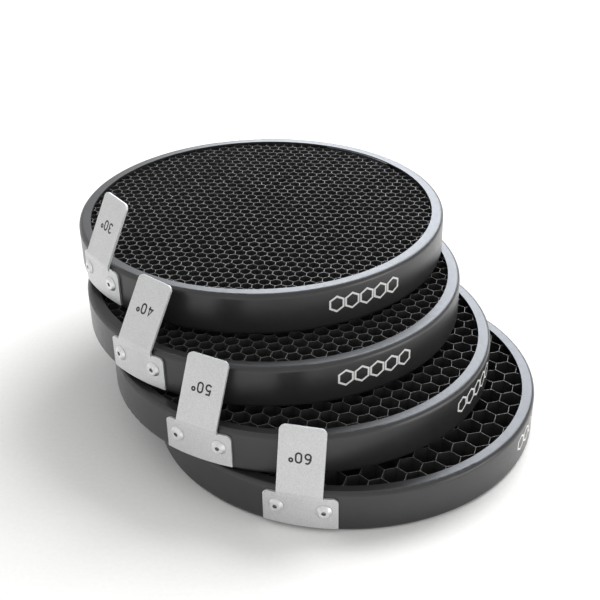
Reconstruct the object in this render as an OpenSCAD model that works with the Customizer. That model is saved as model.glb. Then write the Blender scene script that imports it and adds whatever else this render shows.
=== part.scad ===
// Set of four round honeycomb grids for a 7 inch reflector or snoot.
// The grids lie on each other, fanned out so that every grid's tab can be read.
// Each grid is a rolled C-channel ring, a honeycomb core inside the channel, and a
// T-shaped tab that two blind rivets hold to the ring's wall.

/* [Rings] */
// Outside diameter of every ring
ring_d = 170; // [166:1:174]
// Height of every ring
ring_h = 19; // [18:0.5:21]
// Thickness of the rolled strip
strip_t = 1; // [0.8:0.1:1.1]
// Width of the flanges, measured from the ring's outside
flange_w = 5.4; // [5:0.1:6]
// Outside radius of the shoulder between wall and flange
shoulder_r = 2; // [1.6:0.1:2.4]
// Where the strip's ends start to overlap, in degrees round from the tab
lap_start = 182; // [170:1:185]
// Length of the overlap in degrees
lap_angle = 28; // [20:1:30]
// How far the inner end's flange shows past the outer end's flange
lap_step = 0.8; // [0.4:0.1:1]

/* [Honeycombs] */
// Cell pitch of the 60 degree grid
cell_60 = 9.3; // [8.8:0.1:9.8]
// Cell pitch of the 50 degree grid
cell_50 = 7.65; // [7.2:0.05:8]
// Cell pitch of the 40 degree grid
cell_40 = 6.2; // [5.8:0.1:6.6]
// Cell pitch of the 30 degree grid
cell_30 = 5.6; // [5.6:0.1:6]
// Thickness of a cell wall
foil_t = 0.15; // [0.1:0.05:0.3]
// Thickness of the band that the cut cells end in
rim_t = 0.3; // [0.2:0.1:0.4]

/* [Tabs] */
// Width of the tab's base, measured along its curve
base_w = 31; // [30:0.5:32]
// Height of the tab's base
base_h = 15; // [14:0.5:15]
// Width of the tongue
tongue_w = 19; // [17:0.5:20]
// Length of the tongue above its bend
tongue_l = 27.8; // [24:0.2:30]
// Lean of the 60 degree grid's tongue towards the middle of the grid, in degrees
lean_60 = 17; // [12:0.5:18]
// Lean of the 50 degree grid's tongue
lean_50 = 25.5; // [18:0.5:27]
// Lean of the 40 degree grid's tongue
lean_40 = 32; // [24:0.5:34]
// Lean of the 30 degree grid's tongue
lean_30 = 26; // [18:0.5:30]
// Thickness of the tab
tab_t = 1; // [0.8:0.1:1.2]
// Radius of the base's top corners and of the tongue's tip
tab_corner_r = 2.6; // [2:0.1:3]

/* [Rivets] */
// Diameter of a rivet's shank
shank_d = 3.2; // [3:0.1:3.4]
// Diameter of a rivet's domed head
head_d = 6.6; // [6:0.1:7]
// Height of the domed head
head_h = 1.1; // [0.9:0.1:1.3]
// Diameter of the flat on top of the head
head_flat_d = 4.4; // [3.6:0.2:4.8]
// Distance between the two rivets of a tab
rivet_pitch = 19.6; // [18:0.2:20]
// Height of the tab rivets above the ring's underside
rivet_z = 10.5; // [9.5:0.5:11]

/* [Stack] */
// Centre of the 50 degree grid, measured from the centre of the 60 degree grid
at_50 = [-19.2, 11.5]; // [-40:0.1:60]
// Centre of the 40 degree grid
at_40 = [-31.4, 31.2]; // [-40:0.1:60]
// Centre of the 30 degree grid
at_30 = [-36.9, 56.0]; // [-40:0.1:60]
// Gap between one grid and the next
stack_gap = 0.2; // [0.2:0.1:0.5]

/* [Hidden] */
$fn = 96;

// Colours
ring_color = [0.16, 0.16, 0.17];
foil_color = [0.10, 0.10, 0.10];
tab_color = [0.80, 0.81, 0.82];
rivet_color = [0.86, 0.86, 0.87];
steel_color = [0.45, 0.45, 0.47];

// Clearances
slip = 0.05;
core_gap = 0.3;

// Each ring's tab faces its own way round the stack, in degrees from +X
function tab_turn(grid) = grid == 60 ? -104.4 : grid == 50 ? -119.8 : grid == 40 ? -131.3 : -144.5;
// Direction of the rows of cells, in degrees from +X
function cell_turn(grid) = grid == 60 ? -16.5 : grid == 50 ? -12 : grid == 40 ? -15 : -9;
function cell_pitch(grid) = grid == 60 ? cell_60 : grid == 50 ? cell_50 : grid == 40 ? cell_40 : cell_30;
function tongue_lean(grid) = grid == 60 ? lean_60 : grid == 50 ? lean_50 : grid == 40 ? lean_40 : lean_30;
function grid_at(grid) = grid == 60 ? [0, 0] : grid == 50 ? at_50 : grid == 40 ? at_40 : at_30;
function grid_level(grid) = (60 - grid) / 10 * (ring_h + stack_gap);

// Rings
ring_r = ring_d / 2;
opening_r = ring_r - flange_w;
lap_mid = lap_start + lap_angle / 2;
seam_gap = 0.3;
// The inner end nests in the outer one, pressed into it so that both are one solid
nest_bite = 0.6;

// Cores
core_r = ring_r - strip_t - core_gap;
core_z0 = strip_t + core_gap;
core_h = ring_h - 2 * core_z0;
core_lap_r = opening_r - lap_step - core_gap;

// Tabs
tab_in_r = ring_r + slip;
tab_out_r = tab_in_r + tab_t;
base_top = rivet_z + base_h / 2 - 1;
base_bottom = base_top - base_h;
base_turn = base_w / 2 / tab_out_r * 180 / PI;
bend_in_r = 1.5;
bend_steps = 6;
bend_z = base_top + 0.8;
// The flat foot stands a little proud of the curved base, and meets it just under the base's top
foot_r = tab_in_r + 0.1;
tongue_foot = base_top - 0.5;
rivet_turn = asin(rivet_pitch / 2 / tab_out_r);

// Rivets, measured along the rivet's own axis from under the head
bore_r = 0.95;
stem_r = bore_r - slip;
hole_r = shank_d / 2 + slip;
head_ball_drop = ((pow(head_d, 2) - pow(head_flat_d, 2)) / 4 - pow(head_h, 2)) / (2 * head_h);
head_ball_r = norm([head_d / 2, head_ball_drop]);
tail_r = 2.3;
tail_l = 2.2;
stem_ball_r = 1.4;
// The stem breaks off a little below the top of the head
stem_top = head_h - 0.5;
// Room for a rivet's tail in the edge of the core
notch_w = 6;
notch_r = ring_r - strip_t - tail_l - stem_ball_r - 0.8;

// The stack's box is centred on the origin in X and Y
stack_x = -at_30.x / 2;
stack_y = -(at_30.y + ring_r - (tab_out_r + head_h) * sin(abs(tab_turn(60)) - rivet_turn)) / 2;

module place(grid) {
    at = grid_at(grid);
    translate([at.x + stack_x, at.y + stack_y, grid_level(grid)])
        rotate(tab_turn(grid))
            children();
}

// Half of a ring's cross-section: a block whose two outer corners are rounded, or sharp at no radius
module rounded_block(x0, x1, z0, z1, r) {
    translate([x0, z0]) square([x1 - r - x0, z1 - z0]);
    if (r > 0) {
        translate([x0, z0 + r]) square([x1 - x0, z1 - z0 - 2 * r]);
        translate([x1 - r, z0 + r]) circle(r = r);
        translate([x1 - r, z1 - r]) circle(r = r);
    }
}

module channel_section(x0, x1, z0, z1, r, t) {
    difference() {
        rounded_block(x0, x1, z0, z1, r);
        rounded_block(x0 - 1, x1 - t, z0 + t, z1 - t, max(0, r - t));
    }
}

// A radial hole or pin at a turn round the ring
module radially(turn, r, z) {
    rotate(turn) translate([r, 0, z]) rotate([0, 90, 0]) children();
}

module ring(grid) {
    color(ring_color) place(grid) difference() {
        union() {
            rotate_extrude(angle = 360)
                channel_section(opening_r, ring_r, 0, ring_h, shoulder_r, strip_t);
            // The strip's inner end, nested in the outer end
            rotate(lap_start) rotate_extrude(angle = lap_angle)
                channel_section(
                    opening_r - lap_step, ring_r - strip_t + nest_bite,
                    strip_t - nest_bite, ring_h - strip_t + nest_bite,
                    shoulder_r - strip_t + nest_bite, strip_t + nest_bite
                );
        }
        // The cut edge of the outer end, a slit through the outer layer only
        rotate(lap_start + lap_angle - 1) translate([ring_r - strip_t + nest_bite, -seam_gap, -1])
            cube([strip_t + 1, seam_gap, ring_h + 2]);
        for (side = [-1, 1])
            radially(side * rivet_turn, ring_r - strip_t - 1, rivet_z)
                cylinder(r = hole_r, h = strip_t + 2);
        radially(lap_mid, ring_r - 2 * strip_t - 1, ring_h / 2)
            cylinder(r = hole_r, h = 2 * strip_t + 2);
    }
}

// Cells in rows, every second row half a pitch along, up to the edge of the core
module cells(pitch, edge_r) {
    row_step = pitch * sqrt(3) / 2;
    rows = ceil(edge_r / row_step);
    columns = ceil(edge_r / pitch) + 1;
    reach = edge_r + 0.35 * pitch;
    for (row = [-rows:rows]) {
        for (column = [-columns:columns]) {
            x = (column + (row % 2 == 0 ? 0 : 0.5)) * pitch;
            y = row * row_step;
            if (norm([x, y]) < reach)
                translate([x, y]) rotate(30) circle(r = (pitch - foil_t) / sqrt(3), $fn = 6);
        }
    }
}

// What the core leaves free at its edge: the rivets' tails and the overlapping ends
module core_edge_room() {
    for (side = [-1, 1])
        rotate(side * rivet_turn) translate([notch_r, -notch_w / 2]) square([ring_r - notch_r, notch_w]);
    intersection() {
        difference() {
            circle(r = ring_r);
            circle(r = core_lap_r);
        }
        rotate(lap_start - 1) sector(lap_angle + 2, ring_r * 1.2);
    }
}

// A flat wedge under 60 degrees wide, as a triangle that reaches past a radius
module sector(angle, reach) {
    polygon([[0, 0], [reach, 0], [reach * cos(angle), reach * sin(angle)]]);
}

module honeycomb(grid) {
    color(foil_color) place(grid) translate([0, 0, core_z0]) linear_extrude(height = core_h)
        difference() {
            circle(r = core_r, $fn = 180);
            intersection() {
                circle(r = core_r - rim_t, $fn = 180);
                rotate(cell_turn(grid) - tab_turn(grid)) cells(cell_pitch(grid), core_r - rim_t);
            }
            core_edge_room();
        }
}

// A point of the bend, a turn round its centre and a distance from it
function bend_point(turn, r) = [
    foot_r - bend_in_r + r * cos(turn),
    bend_z + r * sin(turn)
];

// The tongue seen from its side: upright foot, bend and leaning blade
module tongue_side(lean) {
    turns = [for (k = [0:bend_steps]) lean * k / bend_steps];
    outer = bend_in_r + tab_t;
    tip = tongue_l * [-sin(lean), cos(lean)];
    polygon(concat(
        [[foot_r, tongue_foot], [foot_r + tab_t, tongue_foot]],
        [for (turn = turns) bend_point(turn, outer)],
        [bend_point(lean, outer) + tip, bend_point(lean, bend_in_r) + tip],
        [for (k = [bend_steps:-1:0]) bend_point(turns[k], bend_in_r)]
    ));
}

module tab(grid) {
    color(tab_color) place(grid) difference() {
        union() {
            rotate(-base_turn) rotate_extrude(angle = 2 * base_turn)
                translate([tab_in_r, base_bottom]) square([tab_t, base_h]);
            translate([0, tongue_w / 2, 0]) rotate([90, 0, 0])
                linear_extrude(height = tongue_w) tongue_side(tongue_lean(grid));
        }
        for (side = [-1, 1]) {
            rotate(side * base_turn) translate([tab_in_r - 2, 0, 0]) corner_cut(side, 0, base_top);
            translate([foot_r - bend_in_r, 0, bend_z]) rotate([0, -tongue_lean(grid), 0])
                corner_cut(side, tongue_w / 2, tongue_l);
            radially(side * rivet_turn, ring_r - 2, rivet_z) cylinder(r = hole_r, h = tab_t + 5);
        }
    }
}

// What is cut off a corner to round it. The rounding starts a little outside the edges
module corner_cut(side, half, top) {
    r = tab_corner_r;
    poke = 0.05;
    mid = side * (half + poke - r);
    depth = 5;
    difference() {
        translate([0, side > 0 ? mid : mid - r - 1, top + poke - r]) cube([depth, r + 1, r + 1]);
        translate([-1, mid, top + poke - r]) rotate([0, 90, 0]) cylinder(r = r, h = depth + 2);
    }
}

// A blind rivet that has been pulled: head, hollow shank and the bulge behind the sheets
module rivet(grip) {
    rotate_extrude() difference() {
        union() {
            intersection() {
                translate([0, -head_ball_drop]) circle(r = head_ball_r);
                square([head_d / 2, head_h]);
            }
            translate([0, -grip - tail_l]) square([shank_d / 2, grip + tail_l + 0.2]);
            translate([0, -grip - tail_l + 0.5]) square([tail_r, tail_l - 0.5 - slip]);
        }
        translate([-1, -grip - tail_l - 1]) square([1 + bore_r, grip + tail_l + head_h + 2]);
    }
}

// The broken stem that stays in a pulled rivet, with its ball against the tail
module mandrel(grip) {
    rotate_extrude() {
        translate([0, -grip - tail_l - slip]) square([stem_r, grip + tail_l + slip + stem_top]);
        intersection() {
            translate([0, -grip - tail_l - slip - 0.3]) circle(r = stem_ball_r);
            translate([0, -grip - tail_l - slip - stem_ball_r - 0.3]) square([stem_ball_r, stem_ball_r + 0.3]);
        }
    }
}

tab_grip = tab_out_r - ring_r + strip_t + slip;
seam_grip = 2 * strip_t + slip;

module tab_rivets(grid) {
    color(rivet_color) place(grid)
        for (side = [-1, 1])
            radially(side * rivet_turn, tab_out_r + slip, rivet_z) rivet(tab_grip);
}

module seam_rivet(grid) {
    color(rivet_color) place(grid)
        radially(lap_mid, ring_r + slip, ring_h / 2) rivet(seam_grip);
}

module rivet_mandrels(grid) {
    color(steel_color) place(grid) {
        for (side = [-1, 1])
            radially(side * rivet_turn, tab_out_r + slip, rivet_z) mandrel(tab_grip);
        radially(lap_mid, ring_r + slip, ring_h / 2) mandrel(seam_grip);
    }
}

ring(60);  // ring_60
honeycomb(60);  // honeycomb_60
tab(60);  // tab_60
tab_rivets(60);  // tab_rivets_60
seam_rivet(60);  // seam_rivet_60
rivet_mandrels(60);  // rivet_mandrels_60
ring(50);  // ring_50
honeycomb(50);  // honeycomb_50
tab(50);  // tab_50
tab_rivets(50);  // tab_rivets_50
seam_rivet(50);  // seam_rivet_50
rivet_mandrels(50);  // rivet_mandrels_50
ring(40);  // ring_40
honeycomb(40);  // honeycomb_40
tab(40);  // tab_40
tab_rivets(40);  // tab_rivets_40
seam_rivet(40);  // seam_rivet_40
rivet_mandrels(40);  // rivet_mandrels_40
ring(30);  // ring_30
honeycomb(30);  // honeycomb_30
tab(30);  // tab_30
tab_rivets(30);  // tab_rivets_30
seam_rivet(30);  // seam_rivet_30
rivet_mandrels(30);  // rivet_mandrels_30
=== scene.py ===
import math
import random

import bpy
from mathutils import Matrix, Vector


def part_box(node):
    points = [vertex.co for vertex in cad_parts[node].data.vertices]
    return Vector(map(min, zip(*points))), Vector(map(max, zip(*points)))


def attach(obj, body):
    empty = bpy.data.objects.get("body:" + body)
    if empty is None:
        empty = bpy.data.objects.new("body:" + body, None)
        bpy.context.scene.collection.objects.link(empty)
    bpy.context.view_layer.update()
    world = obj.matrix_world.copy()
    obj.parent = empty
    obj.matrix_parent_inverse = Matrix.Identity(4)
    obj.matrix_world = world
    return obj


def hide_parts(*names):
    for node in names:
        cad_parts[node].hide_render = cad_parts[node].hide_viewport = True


MM = 0.001
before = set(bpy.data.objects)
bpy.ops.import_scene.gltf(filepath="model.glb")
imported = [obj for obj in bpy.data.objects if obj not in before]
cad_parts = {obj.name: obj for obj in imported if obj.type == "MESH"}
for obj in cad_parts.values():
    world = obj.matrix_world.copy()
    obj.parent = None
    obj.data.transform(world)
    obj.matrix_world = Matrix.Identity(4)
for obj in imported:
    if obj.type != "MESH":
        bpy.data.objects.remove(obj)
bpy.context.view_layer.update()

# Each grid: cell pitch and half the thickness of a cell's wall in mm, then the directions of its rows
# of cells, of its tab and of the start of its printed mark, and how far its tongue leans in, in degrees
GRIDS = {
    60: {"pitch": 9.3, "foil": 0.05, "rows": -16.5, "tab": -104.4, "mark": -33.0, "lean": 17.0},
    50: {"pitch": 7.65, "foil": 0.05, "rows": -10.5, "tab": -119.8, "mark": -41.0, "lean": 25.5},
    40: {"pitch": 6.2, "foil": 0.05, "rows": -15.0, "tab": -131.3, "mark": -72.0, "lean": 32.0},
    30: {"pitch": 4.75, "foil": 0.06, "rows": -7.5, "tab": -144.5, "mark": -70.0, "lean": 26.0},
}

# Sizes shared by the four grids, in mm and degrees. Radii are from the grid's axis, heights from its
# underside, and turns from its tab
WALL_R = 85.0
# The honeycomb: its edge, underside and top, and its edge where the strip's ends overlap and behind
# the tab's rivets
CORE_R = 83.6
CORE_LOW, CORE_HIGH = 1.3, 17.7
LAP_FROM, LAP_TO, LAP_R = 178.0, 214.0, 78.6
TAIL_HALF_ANGLE, TAIL_R = 9.2, 79.8
# The tab's bend: radius and height of its centre, and its outer radius
BEND_X, BEND_Z, BEND_R = 83.65, 17.8, 2.5

# How the foil strays from a perfect honeycomb, in parts of the pitch: slow waves and small errors
SWAY, JITTER = 0.05, 0.018
# Lengths of the slow waves over a radian, in mm, and how much of the sway the short ones have
LONG_WAVE_X, SHORT_WAVE_X, LONG_WAVE_Y, SHORT_WAVE_Y = 23.0, 9.0, 27.0, 11.0
SHORT_WAVE_SHARE = 0.5
# Unevenness of the cut across the top, in mm
CUT_DEPTH = 0.1
# Smallest part of a cell that is kept at the edge, in squared pitches, and smallest hole in mm2
LEAST_CELL, LEAST_HOLE = 0.12, 0.3
# Shortest side in mm, and sharpest corner as one plus the cosine of its turn, that an outline may
# have when its walls are drawn inside it
LEAST_SIDE, LEAST_LEAN = 0.02, 0.3
# How near its ends a line may cross a circle, as a part of the line
END_GAP = 1e-6
# Which of the honeycomb's two materials a face has
FOIL_FACE, CUT_FACE = 0, 1
# Steps to a pitch by which the corners of neighbouring cells are told apart, and steps to a mm for
# the corners that are left when the cells have been cut off at the ring
CORNER_STEPS, PLACE_STEPS = 60, 1000
# Start of the random draws, to which each grid adds its angle
SEED = 1000

# The angle number: figures and stroke in mm, and its place on the tongue
FIGURE_W, FIGURE_H, FIGURE_STROKE, FIGURE_GAP = 2.25, 3.95, 0.72, 0.8
NUMBER_UP, NUMBER_ASIDE, NUMBER_LEFT = 14.8, 0.4, 4.245
DEGREE_R, DEGREE_ASIDE, DEGREE_UP = 0.68, 0.4, 1.2

# The printed mark: hexagons in mm, and the height of their middle
MARK_COUNT, MARK_SIDE, MARK_STEP, MARK_STROKE, MARK_Z = 5, 3.5, 7.2, 0.85, 10.8
# How deep print starts below its surface, how far it stands proud, and how much each stroke adds
INK_LOW, NUMBER_PROUD, MARK_PROUD, STROKE_LIFT = -0.02, 0.02, 0.03, 0.003
# Sharpest corner of a stroke that gets a full mitre, as one plus the cosine of its turn
LEAST_MITRE = 0.35

# Painted highlight on sharp edges, and painted shade in corners: colour, and reach in metres
# Painted highlight: the pale colour that sharp edges take
EDGE_HIGHLIGHT, EDGE_HIGHLIGHT_REACH = (0.93, 0.94, 0.94), 0.0003
# Painted shade: the dark colour that corners and creases take
CORNER_SHADE, CORNER_SHADE_REACH = (0.10, 0.10, 0.10), 0.0005

# The white of the lights and of the room, and the cooler white of the light behind the grids
WARM_WHITE, COOL_WHITE = (1.0, 0.995, 0.985), (0.86, 0.91, 1.0)


def grid_origin(angle):
    """Centre of a grid's underside, in mm."""
    lo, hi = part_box(f"ring_{angle}")
    return Vector(((lo.x + hi.x) / 2 / MM, (lo.y + hi.y) / 2 / MM, lo.z / MM))


# ---------------------------------------------------------------- materials


def new_material(name):
    """A material, its nodes, its surface shader, and where on the object a point lies."""
    mat = bpy.data.materials.new(name)
    mat.use_nodes = True
    tree = mat.node_tree
    where = tree.nodes.new("ShaderNodeTexCoord").outputs["Object"]
    return mat, tree, tree.nodes["Principled BSDF"], where


def noise(tree, where, scale, detail=4.0, rough=0.55, stretch=None):
    """Cloudy values around a half; scale is in waves to the metre."""
    if stretch is not None:
        mapping = tree.nodes.new("ShaderNodeMapping")
        mapping.inputs["Scale"].default_value = stretch
        tree.links.new(where, mapping.inputs["Vector"])
        where = mapping.outputs["Vector"]
    node = tree.nodes.new("ShaderNodeTexNoise")
    node.inputs["Scale"].default_value = scale
    node.inputs["Detail"].default_value = detail
    node.inputs["Roughness"].default_value = rough
    tree.links.new(where, node.inputs["Vector"])
    return node.outputs["Fac"]


def spread(tree, value, low, high, from_low=0.3, from_high=0.7):
    """Noise stretched over a range of numbers."""
    node = tree.nodes.new("ShaderNodeMapRange")
    node.inputs["From Min"].default_value = from_low
    node.inputs["From Max"].default_value = from_high
    node.inputs["To Min"].default_value = low
    node.inputs["To Max"].default_value = high
    tree.links.new(value, node.inputs["Value"])
    return node.outputs["Result"]


def tones(tree, value, stops):
    """Noise turned into colours."""
    node = tree.nodes.new("ShaderNodeValToRGB")
    ramp = node.color_ramp
    while len(ramp.elements) < len(stops):
        ramp.elements.new(0.5)
    for element, (place, colour) in zip(ramp.elements, stops):
        element.position = place
        element.color = (*colour, 1.0)
    tree.links.new(value, node.inputs["Fac"])
    return node.outputs["Color"]


def paint(tree, shader, colour):
    """The surface takes this colour."""
    tree.links.new(colour, shader.inputs["Base Color"])


def gloss(tree, shader, value, low, high):
    """The surface's roughness runs from low to high with the noise."""
    tree.links.new(spread(tree, value, low, high), shader.inputs["Roughness"])


def bump(tree, shader, value, distance, strength):
    """The noise raises the surface, by up to a distance in metres."""
    node = tree.nodes.new("ShaderNodeBump")
    node.inputs["Strength"].default_value = strength
    node.inputs["Distance"].default_value = distance
    tree.links.new(value, node.inputs["Height"])
    tree.links.new(node.outputs["Normal"], shader.inputs["Normal"])


def blend(tree, share, colour, other):
    """A colour that turns into another one as the share goes to one."""
    mix = tree.nodes.new("ShaderNodeMix")
    mix.data_type = "RGBA"
    mix.inputs["B"].default_value = (*other, 1.0)
    tree.links.new(share, mix.inputs["Factor"])
    tree.links.new(colour, mix.inputs["A"])
    return mix.outputs["Result"]


def worn_edges(tree, colour):
    """A colour that turns to a pale painted highlight where two faces meet at a sharp edge."""
    rounded = tree.nodes.new("ShaderNodeBevel")
    rounded.inputs["Radius"].default_value = EDGE_HIGHLIGHT_REACH
    flat = tree.nodes.new("ShaderNodeNewGeometry")
    agree = tree.nodes.new("ShaderNodeVectorMath")
    agree.operation = "DOT_PRODUCT"
    tree.links.new(rounded.outputs["Normal"], agree.inputs[0])
    tree.links.new(flat.outputs["Normal"], agree.inputs[1])
    share = spread(tree, agree.outputs["Value"], 0.0, 1.0, from_low=0.98, from_high=0.80)
    return blend(tree, share, colour, EDGE_HIGHLIGHT)


def grimy_corners(tree, colour):
    """A colour that darkens to painted shade in the corner where one face meets another."""
    open_sky = tree.nodes.new("ShaderNodeAmbientOcclusion")
    open_sky.samples = 8
    open_sky.inputs["Distance"].default_value = CORNER_SHADE_REACH
    share = spread(tree, open_sky.outputs["AO"], 0.0, 1.0, from_low=0.85, from_high=0.45)
    return blend(tree, share, colour, CORNER_SHADE)


def ring_paint():
    """Satin charcoal coating with a fine orange peel and faint cloudiness."""
    mat, tree, shader, where = new_material("ring_paint")
    cloud = noise(tree, where, 45.0, 5.0)
    shade = tones(tree, cloud, [(0.3, (0.015, 0.015, 0.016)), (0.7, (0.021, 0.021, 0.022))])
    paint(tree, shader, shade)
    gloss(tree, shader, noise(tree, where, 500.0, 2.0), 0.28, 0.34)
    bump(tree, shader, noise(tree, where, 900.0, 1.0), 0.000003, 0.3)
    shader.inputs["Specular IOR Level"].default_value = 0.65
    return mat


def honeycomb_foil():
    """Matt black coating on thin foil, with lengthwise rolling marks and dusty patches."""
    mat, tree, shader, where = new_material("honeycomb_foil")
    patch = noise(tree, where, 160.0, 5.0)
    shade = tones(tree, patch, [(0.35, (0.017, 0.017, 0.017)), (0.75, (0.030, 0.030, 0.029))])
    paint(tree, shader, shade)
    grain = noise(tree, where, 1500.0, 3.0, stretch=(1.0, 1.0, 0.15))
    gloss(tree, shader, grain, 0.55, 0.70)
    bump(tree, shader, grain, 0.00003, 0.4)
    return mat


def cut_edge():
    """Bare metal where the honeycomb was sliced, with the coating smeared over some of it."""
    mat, tree, shader, where = new_material("honeycomb_cut_edge")
    smear = noise(tree, where, 420.0, 4.0)
    shade = tones(tree, smear, [(0.35, (0.22, 0.22, 0.22)), (0.65, (0.46, 0.46, 0.46))])
    paint(tree, shader, shade)
    gloss(tree, shader, smear, 0.68, 0.50)
    bump(tree, shader, noise(tree, where, 3000.0, 2.0), 0.00002, 0.5)
    shader.inputs["Metallic"].default_value = 0.3
    return mat


def tab_aluminium():
    """Bead-blasted aluminium sheet with a fine sparkle and faint handling marks."""
    mat, tree, shader, where = new_material("tab_aluminium")
    grain = noise(tree, where, 1900.0, 5.0, 0.7)
    smudge = noise(tree, where, 70.0, 4.0)
    sheet = tones(tree, grain, [(0.3, (0.56, 0.57, 0.57)), (0.7, (0.73, 0.74, 0.74))])
    # Painted highlight along the sheet's sharp edges, and painted shade in its corners and round the
    # rivet heads
    paint(tree, shader, grimy_corners(tree, worn_edges(tree, sheet)))
    gloss(tree, shader, smudge, 0.50, 0.62)
    bump(tree, shader, grain, 0.00003, 0.5)
    shader.inputs["Metallic"].default_value = 1.0
    return mat


def rivet_aluminium():
    """Bright upset aluminium with small dents, with painted shade where the head meets the tab."""
    mat, tree, shader, where = new_material("rivet_aluminium")
    dents = noise(tree, where, 700.0, 4.0)
    head = tones(tree, dents, [(0.3, (0.66, 0.66, 0.67)), (0.7, (0.82, 0.82, 0.83))])
    # Painted shade round the foot of the head
    paint(tree, shader, grimy_corners(tree, head))
    gloss(tree, shader, dents, 0.36, 0.50)
    bump(tree, shader, dents, 0.00005, 0.4)
    shader.inputs["Metallic"].default_value = 1.0
    return mat


def mandrel_steel():
    """Dull broken steel, darkened in patches."""
    mat, tree, shader, where = new_material("mandrel_steel")
    stain = noise(tree, where, 1200.0, 5.0)
    paint(tree, shader, tones(tree, stain, [(0.35, (0.12, 0.12, 0.12)), (0.7, (0.26, 0.26, 0.27))]))
    gloss(tree, shader, stain, 0.45, 0.60)
    bump(tree, shader, stain, 0.00008, 0.6)
    shader.inputs["Metallic"].default_value = 1.0
    return mat


def ink(name, dark, light, rough):
    """Screen-printed ink: a little uneven in tone and gloss."""
    mat, tree, shader, where = new_material(name)
    blot = noise(tree, where, 1400.0, 4.0)
    paint(tree, shader, tones(tree, blot, [(0.3, dark), (0.7, light)]))
    gloss(tree, shader, blot, rough, rough + 0.12)
    bump(tree, shader, blot, 0.00001, 0.5)
    return mat


def floor_paper():
    """White background paper with a fine fibre."""
    mat, tree, shader, where = new_material("floor_paper")
    fibre = noise(tree, where, 500.0, 5.0)
    paint(tree, shader, tones(tree, fibre, [(0.3, (0.83, 0.83, 0.83)), (0.7, (0.86, 0.86, 0.86))]))
    shader.inputs["Roughness"].default_value = 0.8
    shader.inputs["Specular IOR Level"].default_value = 0.2
    bump(tree, shader, fibre, 0.00005, 0.2)
    return mat


FOIL = honeycomb_foil()
CUT_EDGE = cut_edge()
CAD_FINISH = {
    "ring": ring_paint(),
    "tab": tab_aluminium(),
    "tab_rivets": rivet_aluminium(),
    "rivet_mandrels": mandrel_steel(),
}
CAD_FINISH["seam_rivet"] = CAD_FINISH["tab_rivets"]
NUMBER_INK = ink("number_ink", (0.010, 0.010, 0.011), (0.022, 0.022, 0.024), 0.45)
MARK_INK = ink("mark_ink", (0.62, 0.62, 0.61), (0.74, 0.74, 0.73), 0.4)


# ---------------------------------------------------------------- meshes


def build(name, verts, faces, mats, indices=None):
    """A mesh object from corners in mm, its faces given materials by their index."""
    mesh = bpy.data.meshes.new(name)
    mesh.from_pydata([Vector(v) * MM for v in verts], [], faces)
    for mat in mats:
        mesh.materials.append(mat)
    if indices is not None:
        mesh.polygons.foreach_set("material_index", indices)
    mesh.validate()
    mesh.update()
    obj = bpy.data.objects.new(name, mesh)
    bpy.context.scene.collection.objects.link(obj)
    return obj


def on_circle(a, b, radius):
    """Where the line from a to b crosses a circle about the origin, as fractions of the way."""
    dx, dy = b[0] - a[0], b[1] - a[1]
    qa = dx * dx + dy * dy
    qb = a[0] * dx + a[1] * dy
    qc = a[0] * a[0] + a[1] * a[1] - radius * radius
    root = qb * qb - qa * qc
    if root <= 0:
        return []
    root = math.sqrt(root)
    crossings = ((-qb - root) / qa, (-qb + root) / qa)
    return [t for t in crossings if END_GAP < t < 1 - END_GAP]


def trimmed(cell, radius):
    """The part of a cell's outline inside a circle about the origin."""
    out = []
    for a, b in zip(cell, cell[1:] + cell[:1]):
        if math.hypot(*a) <= radius:
            out.append(a)
        for t in on_circle(a, b, radius):
            out.append((a[0] + (b[0] - a[0]) * t, a[1] + (b[1] - a[1]) * t))
    return out


def area(outline):
    """Area inside an outline that runs anticlockwise."""
    return 0.5 * sum(
        a[0] * b[1] - b[0] * a[1] for a, b in zip(outline, outline[1:] + outline[:1])
    )


def inset(outline, depth):
    """An outline moved inwards, or None where it is too narrow for that."""
    count = len(outline)
    normals = []
    for i in range(count):
        a, b = outline[i], outline[(i + 1) % count]
        length = math.hypot(b[0] - a[0], b[1] - a[1])
        if length < LEAST_SIDE:
            return None
        normals.append(((a[1] - b[1]) / length, (b[0] - a[0]) / length))
    out = []
    for i in range(count):
        n0, n1 = normals[i - 1], normals[i]
        lean = 1 + n0[0] * n1[0] + n0[1] * n1[1]
        if lean < LEAST_LEAN:
            return None
        x, y = outline[i]
        out.append((x + (n0[0] + n1[0]) * depth / lean, y + (n0[1] + n1[1]) * depth / lean))
    return out


def edge_radius(angle, x, y):
    """How far out the core reaches near a place: less at the rivet tails and the overlapping ends."""
    turn = (math.degrees(math.atan2(y, x)) - GRIDS[angle]["tab"] + 180) % 360 - 180
    if abs(turn) < TAIL_HALF_ANGLE:
        return TAIL_R
    if LAP_FROM < turn % 360 < LAP_TO:
        return LAP_R
    return CORE_R


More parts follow.
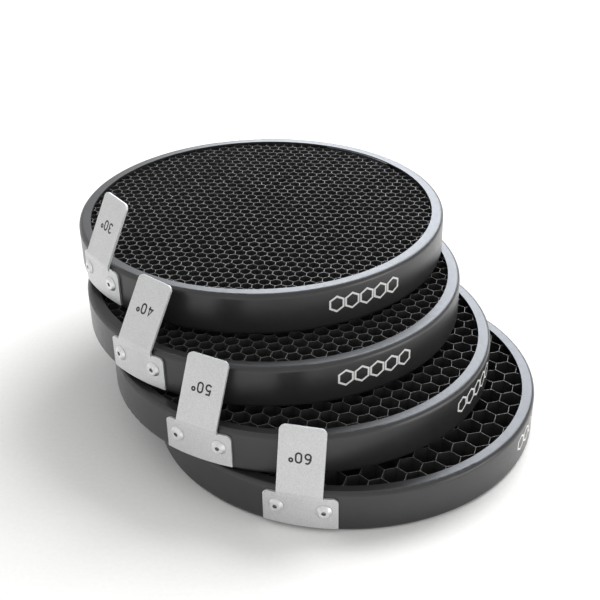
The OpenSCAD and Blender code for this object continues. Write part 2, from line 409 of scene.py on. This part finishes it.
def cell_outlines(angle, chance):
    """The cells of stretched foil, a little uneven, side by side and cut off at the ring."""
    pitch = GRIDS[angle]["pitch"]
    rows = math.radians(GRIDS[angle]["rows"])
    junctions = {}
    drift = [chance.uniform(0, 2 * math.pi) for _ in range(4)]

    def junction(x, y):
        """A corner shared by three cells, off its ideal place by slow waves and a small error."""
        key = (round(x / pitch * CORNER_STEPS), round(y / pitch * CORNER_STEPS))
        if key not in junctions:
            long_sway, jitter = SWAY * pitch, JITTER * pitch
            short_sway = SHORT_WAVE_SHARE * long_sway
            dx = long_sway * math.sin(y / LONG_WAVE_X + drift[0])
            dx += short_sway * math.sin(x / SHORT_WAVE_X + drift[1])
            dy = long_sway * math.sin(x / LONG_WAVE_Y + drift[2])
            dy += short_sway * math.sin(y / SHORT_WAVE_Y + drift[3])
            u = x + dx + chance.uniform(-jitter, jitter)
            v = y + dy + chance.uniform(-jitter, jitter)
            junctions[key] = (
                u * math.cos(rows) - v * math.sin(rows),
                u * math.sin(rows) + v * math.cos(rows),
            )
        return junctions[key]

    row_step = pitch * math.sqrt(3) / 2
    reach = int(CORE_R / row_step) + 2
    corner = pitch / math.sqrt(3)
    outlines = []
    for j in range(-reach, reach + 1):
        for i in range(-reach - 1, reach + 2):
            x, y = (i + 0.5 * (j % 2)) * pitch, j * row_step
            if math.hypot(x, y) > CORE_R + pitch:
                continue
            cell = []
            for k in range(6):
                turn = math.radians(30 + 60 * k)
                cell.append(junction(x + corner * math.cos(turn), y + corner * math.sin(turn)))
            cx = sum(p[0] for p in cell) / 6
            cy = sum(p[1] for p in cell) / 6
            cell = trimmed(cell, edge_radius(angle, cx, cy))
            if len(cell) >= 3 and area(cell) > LEAST_CELL * pitch * pitch:
                outlines.append(cell)
    return outlines


def honeycomb(angle):
    """Foil walls inside the outline of each cell, with bare metal on their cut edges."""
    chance = random.Random(SEED + angle)
    at = grid_origin(angle)
    verts, faces, kinds = [], [], []
    shared = {}
    sides = {}

    def corner_pair(p, low, high):
        """Top and bottom corner at a place; the bottom one's index is one more than the top one's."""
        verts.append((at.x + p[0], at.y + p[1], at.z + high))
        verts.append((at.x + p[0], at.y + p[1], at.z + low))
        return len(verts) - 2

    def shared_pair(p):
        """The pair of corners that every cell meeting at a place uses, with the cut's uneven height."""
        key = (round(p[0] * PLACE_STEPS), round(p[1] * PLACE_STEPS))
        if key not in shared:
            shared[key] = corner_pair(p, CORE_LOW, CORE_HIGH - chance.uniform(0, CUT_DEPTH))
        return shared[key]

    for cell in cell_outlines(angle, chance):
        hole = inset(cell, GRIDS[angle]["foil"])
        if hole is None or area(hole) < LEAST_HOLE:
            continue
        outer = [shared_pair(p) for p in cell]
        inner = [corner_pair(p, CORE_LOW, verts[o][2] - at.z) for p, o in zip(hole, outer)]
        count = len(cell)
        for a in range(count):
            b = (a + 1) % count
            o0, o1, i0, i1 = outer[a], outer[b], inner[a], inner[b]
            if o0 == o1:
                continue
            faces += [(o0, o1, i1, i0), (o1 + 1, o0 + 1, i0 + 1, i1 + 1), (i0, i1, i1 + 1, i0 + 1)]
            kinds += [CUT_FACE, CUT_FACE, FOIL_FACE]
            edge = (min(o0, o1), max(o0, o1))
            sides.setdefault(edge, []).append((o0, o1))
    for users in sides.values():
        if len(users) == 1:
            o0, o1 = users[0]
            faces.append((o0, o0 + 1, o1 + 1, o1))
            kinds.append(FOIL_FACE)
    obj = build(f"honeycomb_mesh_{angle}", verts, faces, [FOIL, CUT_EDGE], kinds)
    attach(obj, f"grid_{angle}")
    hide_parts(f"honeycomb_{angle}")


def arc(cx, cy, rx, ry, start, end, steps):
    """Points along part of an ellipse, from one angle to another in degrees."""
    points = []
    for k in range(steps + 1):
        a = math.radians(start + (end - start) * k / steps)
        points.append((cx + rx * math.cos(a), cy + ry * math.sin(a)))
    return points


def ribbon(points, width, closed):
    """Left and right borders of a stroke along a path, mitred at its corners."""
    count = len(points)
    left, right = [], []
    for k in range(count):
        before = points[k - 1] if closed or k > 0 else None
        after = points[(k + 1) % count] if closed or k < count - 1 else None
        here = points[k]
        dirs = []
        for a, b in ((before, here), (here, after)):
            if a is not None and b is not None:
                length = math.hypot(b[0] - a[0], b[1] - a[1])
                dirs.append(((b[0] - a[0]) / length, (b[1] - a[1]) / length))
        if len(dirs) == 1:
            dirs.append(dirs[0])
        n0 = (-dirs[0][1], dirs[0][0])
        n1 = (-dirs[1][1], dirs[1][0])
        lean = max(LEAST_MITRE, 1 + n0[0] * n1[0] + n0[1] * n1[1])
        off = ((n0[0] + n1[0]) / lean * width / 2, (n0[1] + n1[1]) / lean * width / 2)
        left.append((here[0] + off[0], here[1] + off[1]))
        right.append((here[0] - off[0], here[1] - off[1]))
    return left, right


def strokes(name, paths, width, place, low, high, mat):
    """Printed strokes as thin raised strips.

    Each path is its points and whether it closes. The place function turns distances across, up and
    off the surface into a point in space.
    """
    verts, faces = [], []
    for step, (points, closed) in enumerate(paths):
        top = high + STROKE_LIFT * step
        left, right = ribbon(points, width, closed)
        base = len(verts)
        for p, q in zip(left, right):
            verts += [place(*p, top), place(*q, top), place(*p, low), place(*q, low)]
        count = len(points)
        for k in range(count if closed else count - 1):
            a, b = base + 4 * k, base + 4 * ((k + 1) % count)
            faces += [
                (a, a + 1, b + 1, b),
                (a + 2, b + 2, b + 3, a + 3),
                (a, b, b + 2, a + 2),
                (a + 1, a + 3, b + 3, b + 1),
            ]
        if not closed:
            a, b = base, base + 4 * (count - 1)
            faces += [(a, a + 2, a + 3, a + 1), (b, b + 1, b + 3, b + 2)]
    return build(name, verts, faces, [mat])


def digit(figure, w, h):
    """A figure as paths in a box w wide and h high."""
    r = w / 2
    if figure == "0":
        return [(arc(r, h - r, r, r, 0, 180, 12) + arc(r, r, r, r, 180, 360, 12), True)]
    if figure == "6":
        bowl = 0.56 * h
        ring = arc(r, bowl / 2, r, bowl / 2, 0, 345, 23)
        neck = arc(0.62 * w, 0.36 * h, 0.62 * w, 0.64 * h, 62, 172, 12)
        return [(ring, True), (neck, False)]
    if figure == "5":
        b = 0.31 * h
        bowl = arc(0.46 * w, b, 0.54 * w, b, 150, -150, 20)
        top = [(0.92 * w, h), (0.18 * w, h), (0.06 * w, 0.49 * h)]
        return [(top, False), (bowl, False)]
    if figure == "4":
        return [([(0.72 * w, 0.0), (0.72 * w, h), (0.0, 0.27 * h), (w, 0.27 * h)], False)]
    # What is left is the 3
    upper = arc(0.48 * w, 0.76 * h, 0.46 * w, 0.24 * h, 160, -90, 16)
    lower = arc(0.48 * w, 0.26 * h, 0.52 * w, 0.26 * h, 90, -160, 16)
    return [(upper, False), (lower, False)]


def number(angle):
    """The beam angle printed on the tongue, upside down for a viewer outside the ring."""
    at = grid_origin(angle)
    turn = math.radians(GRIDS[angle]["tab"])
    lean = math.radians(GRIDS[angle]["lean"])
    upright = Vector((0, 0, 1))
    out = Vector((math.cos(turn), math.sin(turn), 0))
    along = Vector((-math.sin(turn), math.cos(turn), 0))
    rise = math.cos(lean) * upright - math.sin(lean) * out
    face = math.cos(lean) * out + math.sin(lean) * upright
    foot = at + BEND_X * out + BEND_Z * upright + BEND_R * face
    middle = foot + NUMBER_UP * rise - NUMBER_ASIDE * along

    def place(across, up, height):
        return middle - across * along - up * rise + height * face

    paths = []
    x = -NUMBER_LEFT
    for figure in str(angle):
        for points, closed in digit(figure, FIGURE_W, FIGURE_H):
            paths.append(([(x + u, v - FIGURE_H / 2) for u, v in points], closed))
        x += FIGURE_W + FIGURE_STROKE + FIGURE_GAP
    paths.append((arc(x + DEGREE_ASIDE, DEGREE_UP, DEGREE_R, DEGREE_R, 0, 342, 19), True))
    name = f"number_{angle}"
    obj = strokes(name, paths, FIGURE_STROKE, place, INK_LOW, NUMBER_PROUD, NUMBER_INK)
    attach(obj, f"grid_{angle}")


def mark(angle):
    """A generic row of plain hexagon outlines printed on the wall."""
    at = grid_origin(angle)
    start = math.radians(GRIDS[angle]["mark"])

    def place(across, up, height):
        a = start + across / WALL_R
        r = WALL_R + height
        return (at.x + r * math.cos(a), at.y + r * math.sin(a), at.z + MARK_Z + up)

    paths = []
    for k in range(MARK_COUNT):
        hexagon = []
        for c in range(6):
            a0, a1 = math.radians(90 + 60 * c), math.radians(150 + 60 * c)
            # Three points to a side, so that it follows the wall's curve
            for t in (0, 1 / 3, 2 / 3):
                across = math.cos(a0) * (1 - t) + math.cos(a1) * t
                up = math.sin(a0) * (1 - t) + math.sin(a1) * t
                hexagon.append(((k + 0.5) * MARK_STEP + MARK_SIDE * across, MARK_SIDE * up))
        paths.append((hexagon, True))
    name = f"mark_{angle}"
    obj = strokes(name, paths, MARK_STROKE, place, INK_LOW, MARK_PROUD, MARK_INK)
    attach(obj, f"grid_{angle}")


for angle in GRIDS:
    for part, finish in CAD_FINISH.items():
        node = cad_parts[f"{part}_{angle}"]
        node.data.materials.clear()
        node.data.materials.append(finish)
    honeycomb(angle)
    number(angle)
    mark(angle)


# ---------------------------------------------------------------- floor, light and camera

# Half the floor's width in mm, and the squares along it
FLOOR, SQUARES = 4000.0, 24


def floor_sheet():
    """A flat square sheet under the stack."""
    places = [-FLOOR + 2 * FLOOR * i / SQUARES for i in range(SQUARES + 1)]
    verts = [(x, y, 0.0) for y in places for x in places]
    faces = []
    for j in range(SQUARES):
        for i in range(SQUARES):
            k = j * (SQUARES + 1) + i
            faces.append((k, k + 1, k + SQUARES + 2, k + SQUARES + 1))
    return build("floor", verts, faces, [floor_paper()])


floor = floor_sheet()


# Where the lights point, in metres
AIM = Vector((0, 0, 0.02))


def softbox(name, azimuth, elevation, distance, width, height, radiance, colour):
    """A rectangular light turned towards the stack.

    Azimuth is from +Y towards +X and elevation from the floor, in degrees; distance and size are in
    metres.
    """
    light = bpy.data.lights.new(name, "AREA")
    light.shape = "RECTANGLE"
    light.size, light.size_y = width, height
    light.energy = radiance * math.pi * width * height
    light.color = colour
    obj = bpy.data.objects.new(name, light)
    a, e = math.radians(azimuth), math.radians(elevation)
    away = Vector((math.sin(a) * math.cos(e), math.cos(a) * math.cos(e), math.sin(e)))
    obj.location = AIM + away * distance
    obj.rotation_mode = "QUATERNION"
    obj.rotation_quaternion = away.to_track_quat("Z", "Y")
    bpy.context.scene.collection.objects.link(obj)
    return obj


# The key light throws the soft shadow to the left, but is not mirrored
key = softbox(
    "key_softbox", azimuth=38, elevation=42, distance=2.4,
    width=1.7, height=1.7, radiance=7.6, colour=WARM_WHITE,
)
key.visible_glossy = False
# The back light is what the flanges mirror, and lights nothing else
back = softbox(
    "back_softbox", azimuth=19, elevation=33, distance=2.4,
    width=2.0, height=1.2, radiance=7.2, colour=COOL_WHITE,
)
back.visible_diffuse = False
# The side light brightens the right end of every wall
softbox(
    "side_softbox", azimuth=112, elevation=12, distance=2.0,
    width=1.2, height=0.9, radiance=2.5, colour=WARM_WHITE,
)


def room_light():
    """Pale light from all round, brightest from low down, the left and the front."""
    world = bpy.data.worlds.new("studio")
    world.use_nodes = True
    tree = world.node_tree
    where = tree.nodes.new("ShaderNodeTexCoord").outputs["Generated"]
    slope = tree.nodes.new("ShaderNodeVectorMath")
    slope.operation = "DOT_PRODUCT"
    slope.inputs[1].default_value = (-0.3, -0.3, -0.8)
    tree.links.new(where, slope.inputs[0])
    strength = spread(tree, slope.outputs["Value"], 0.7, 0.95, -0.8, 0.4)
    background = tree.nodes["Background"]
    tree.links.new(strength, background.inputs["Strength"])
    background.inputs["Color"].default_value = (*WARM_WHITE, 1.0)
    return world


bpy.context.scene.world = room_light()
bpy.context.scene.view_settings.view_transform = "Standard"

# The camera looks along +Y and down at a target, in radians and metres
ELEVATION, ROLL = math.radians(32.26), -0.0173
DISTANCE, TARGET = 0.5132, Vector((-0.00155, -0.00069, 0.020))
FOCAL_LENGTH, SENSOR_WIDTH, SHIFT_UP = 64.75, 36.0, 0.0667


def look():
    """The camera in its place."""
    ahead = Vector((0, math.cos(ELEVATION), -math.sin(ELEVATION)))
    flat_right = Vector((1, 0, 0))
    flat_up = Vector((0, math.sin(ELEVATION), math.cos(ELEVATION)))
    right = flat_right * math.cos(ROLL) + flat_up * math.sin(ROLL)
    up = -flat_right * math.sin(ROLL) + flat_up * math.cos(ROLL)
    lens = bpy.data.cameras.new("camera")
    lens.lens = FOCAL_LENGTH
    lens.sensor_width = SENSOR_WIDTH
    lens.shift_y = SHIFT_UP
    lens.clip_start, lens.clip_end = 0.01, 20.0
    obj = bpy.data.objects.new("camera", lens)
    axes = Matrix((right, up, -ahead)).transposed().to_4x4()
    obj.matrix_world = Matrix.Translation(TARGET - ahead * DISTANCE) @ axes
    bpy.context.scene.collection.objects.link(obj)
    return obj


bpy.context.scene.camera = look()
